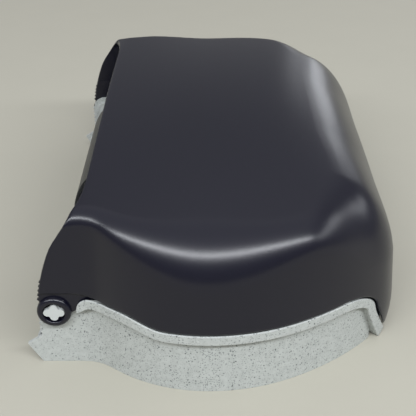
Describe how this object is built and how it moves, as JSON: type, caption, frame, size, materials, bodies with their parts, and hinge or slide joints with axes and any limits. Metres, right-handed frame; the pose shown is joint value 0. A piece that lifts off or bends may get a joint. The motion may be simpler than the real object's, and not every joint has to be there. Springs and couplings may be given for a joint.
{
  "type": "jumbo toilet roll dispenser",
  "caption": "Twin jumbo toilet roll dispenser with a dark hinged cover, a light moulded base with tear teeth, two hubs, a sliding shutter and a key lock, lying on its back.",
  "frame": {"origin": "centre of the four wall fixing holes, in the wall plane", "axes": "+X up the wall, from the paper exit to the lock; +Y across the wall; +Z out of the wall"},
  "size_m": [0.3157, 0.4886, 0.152],
  "materials": {
    "base_plastic": "moulded, fine dark specks",
    "pin_plastic": "moulded, fine dark specks",
    "cover_plastic": "satin smoke",
    "hub_plastic": "satin",
    "adaptor_plastic": "satin",
    "shutter_plastic": "satin",
    "lock_metal": "die cast, satin",
    "steel": "zinc plated"
  },
  "bodies": {
    "base": {"base_shell": "base_plastic", "hinge_pin_near": "pin_plastic", "hinge_pin_far": "pin_plastic", "spindle_near": "base_plastic", "spindle_far": "base_plastic", "spindle_screws": "steel", "hub_cap_near": "base_plastic", "hub_cap_far": "base_plastic", "hub_cap_screws": "steel", "strike_plate": "steel", "strike_screws": "steel"},
    "cover": {"cover_shell": "cover_plastic", "lock_housing": "lock_metal", "lock_nut": "lock_metal"},
    "lock": {"lock_plug": "lock_metal", "lock_cam": "steel", "lock_cam_screw": "steel"},
    "roll_hub_near": {"hub_near": "hub_plastic", "core_adaptor_near": "adaptor_plastic"},
    "roll_hub_far": {"hub_far": "hub_plastic", "core_adaptor_far": "adaptor_plastic"},
    "shutter_slide": {"shutter": "shutter_plastic"}
  },
  "joints": [
    {"name": "cover_hinge", "type": "hinge", "parent": "base", "child": "cover", "pos_m": [-0.1293, 0, 0.0555], "axis": [0, -1, 0], "range_deg": [0, 100]},
    {"name": "lock_turn", "type": "hinge", "parent": "cover", "child": "lock", "pos_m": [0.15, 0, 0.034], "axis": [1, 0, 0], "range_deg": [0, 90]},
    {"name": "hub_near_spin", "type": "hinge", "parent": "base", "child": "roll_hub_near", "pos_m": [0.004, -0.1175, 0.05], "axis": [0, 0, 1], "continuous": true},
    {"name": "hub_far_spin", "type": "hinge", "parent": "base", "child": "roll_hub_far", "pos_m": [0.004, 0.1175, 0.05], "axis": [0, 0, 1], "continuous": true},
    {"name": "shutter_travel", "type": "slide", "parent": "base", "child": "shutter_slide", "axis": [0, -1, 0], "range_m": [0, 0.146]}
  ]
}
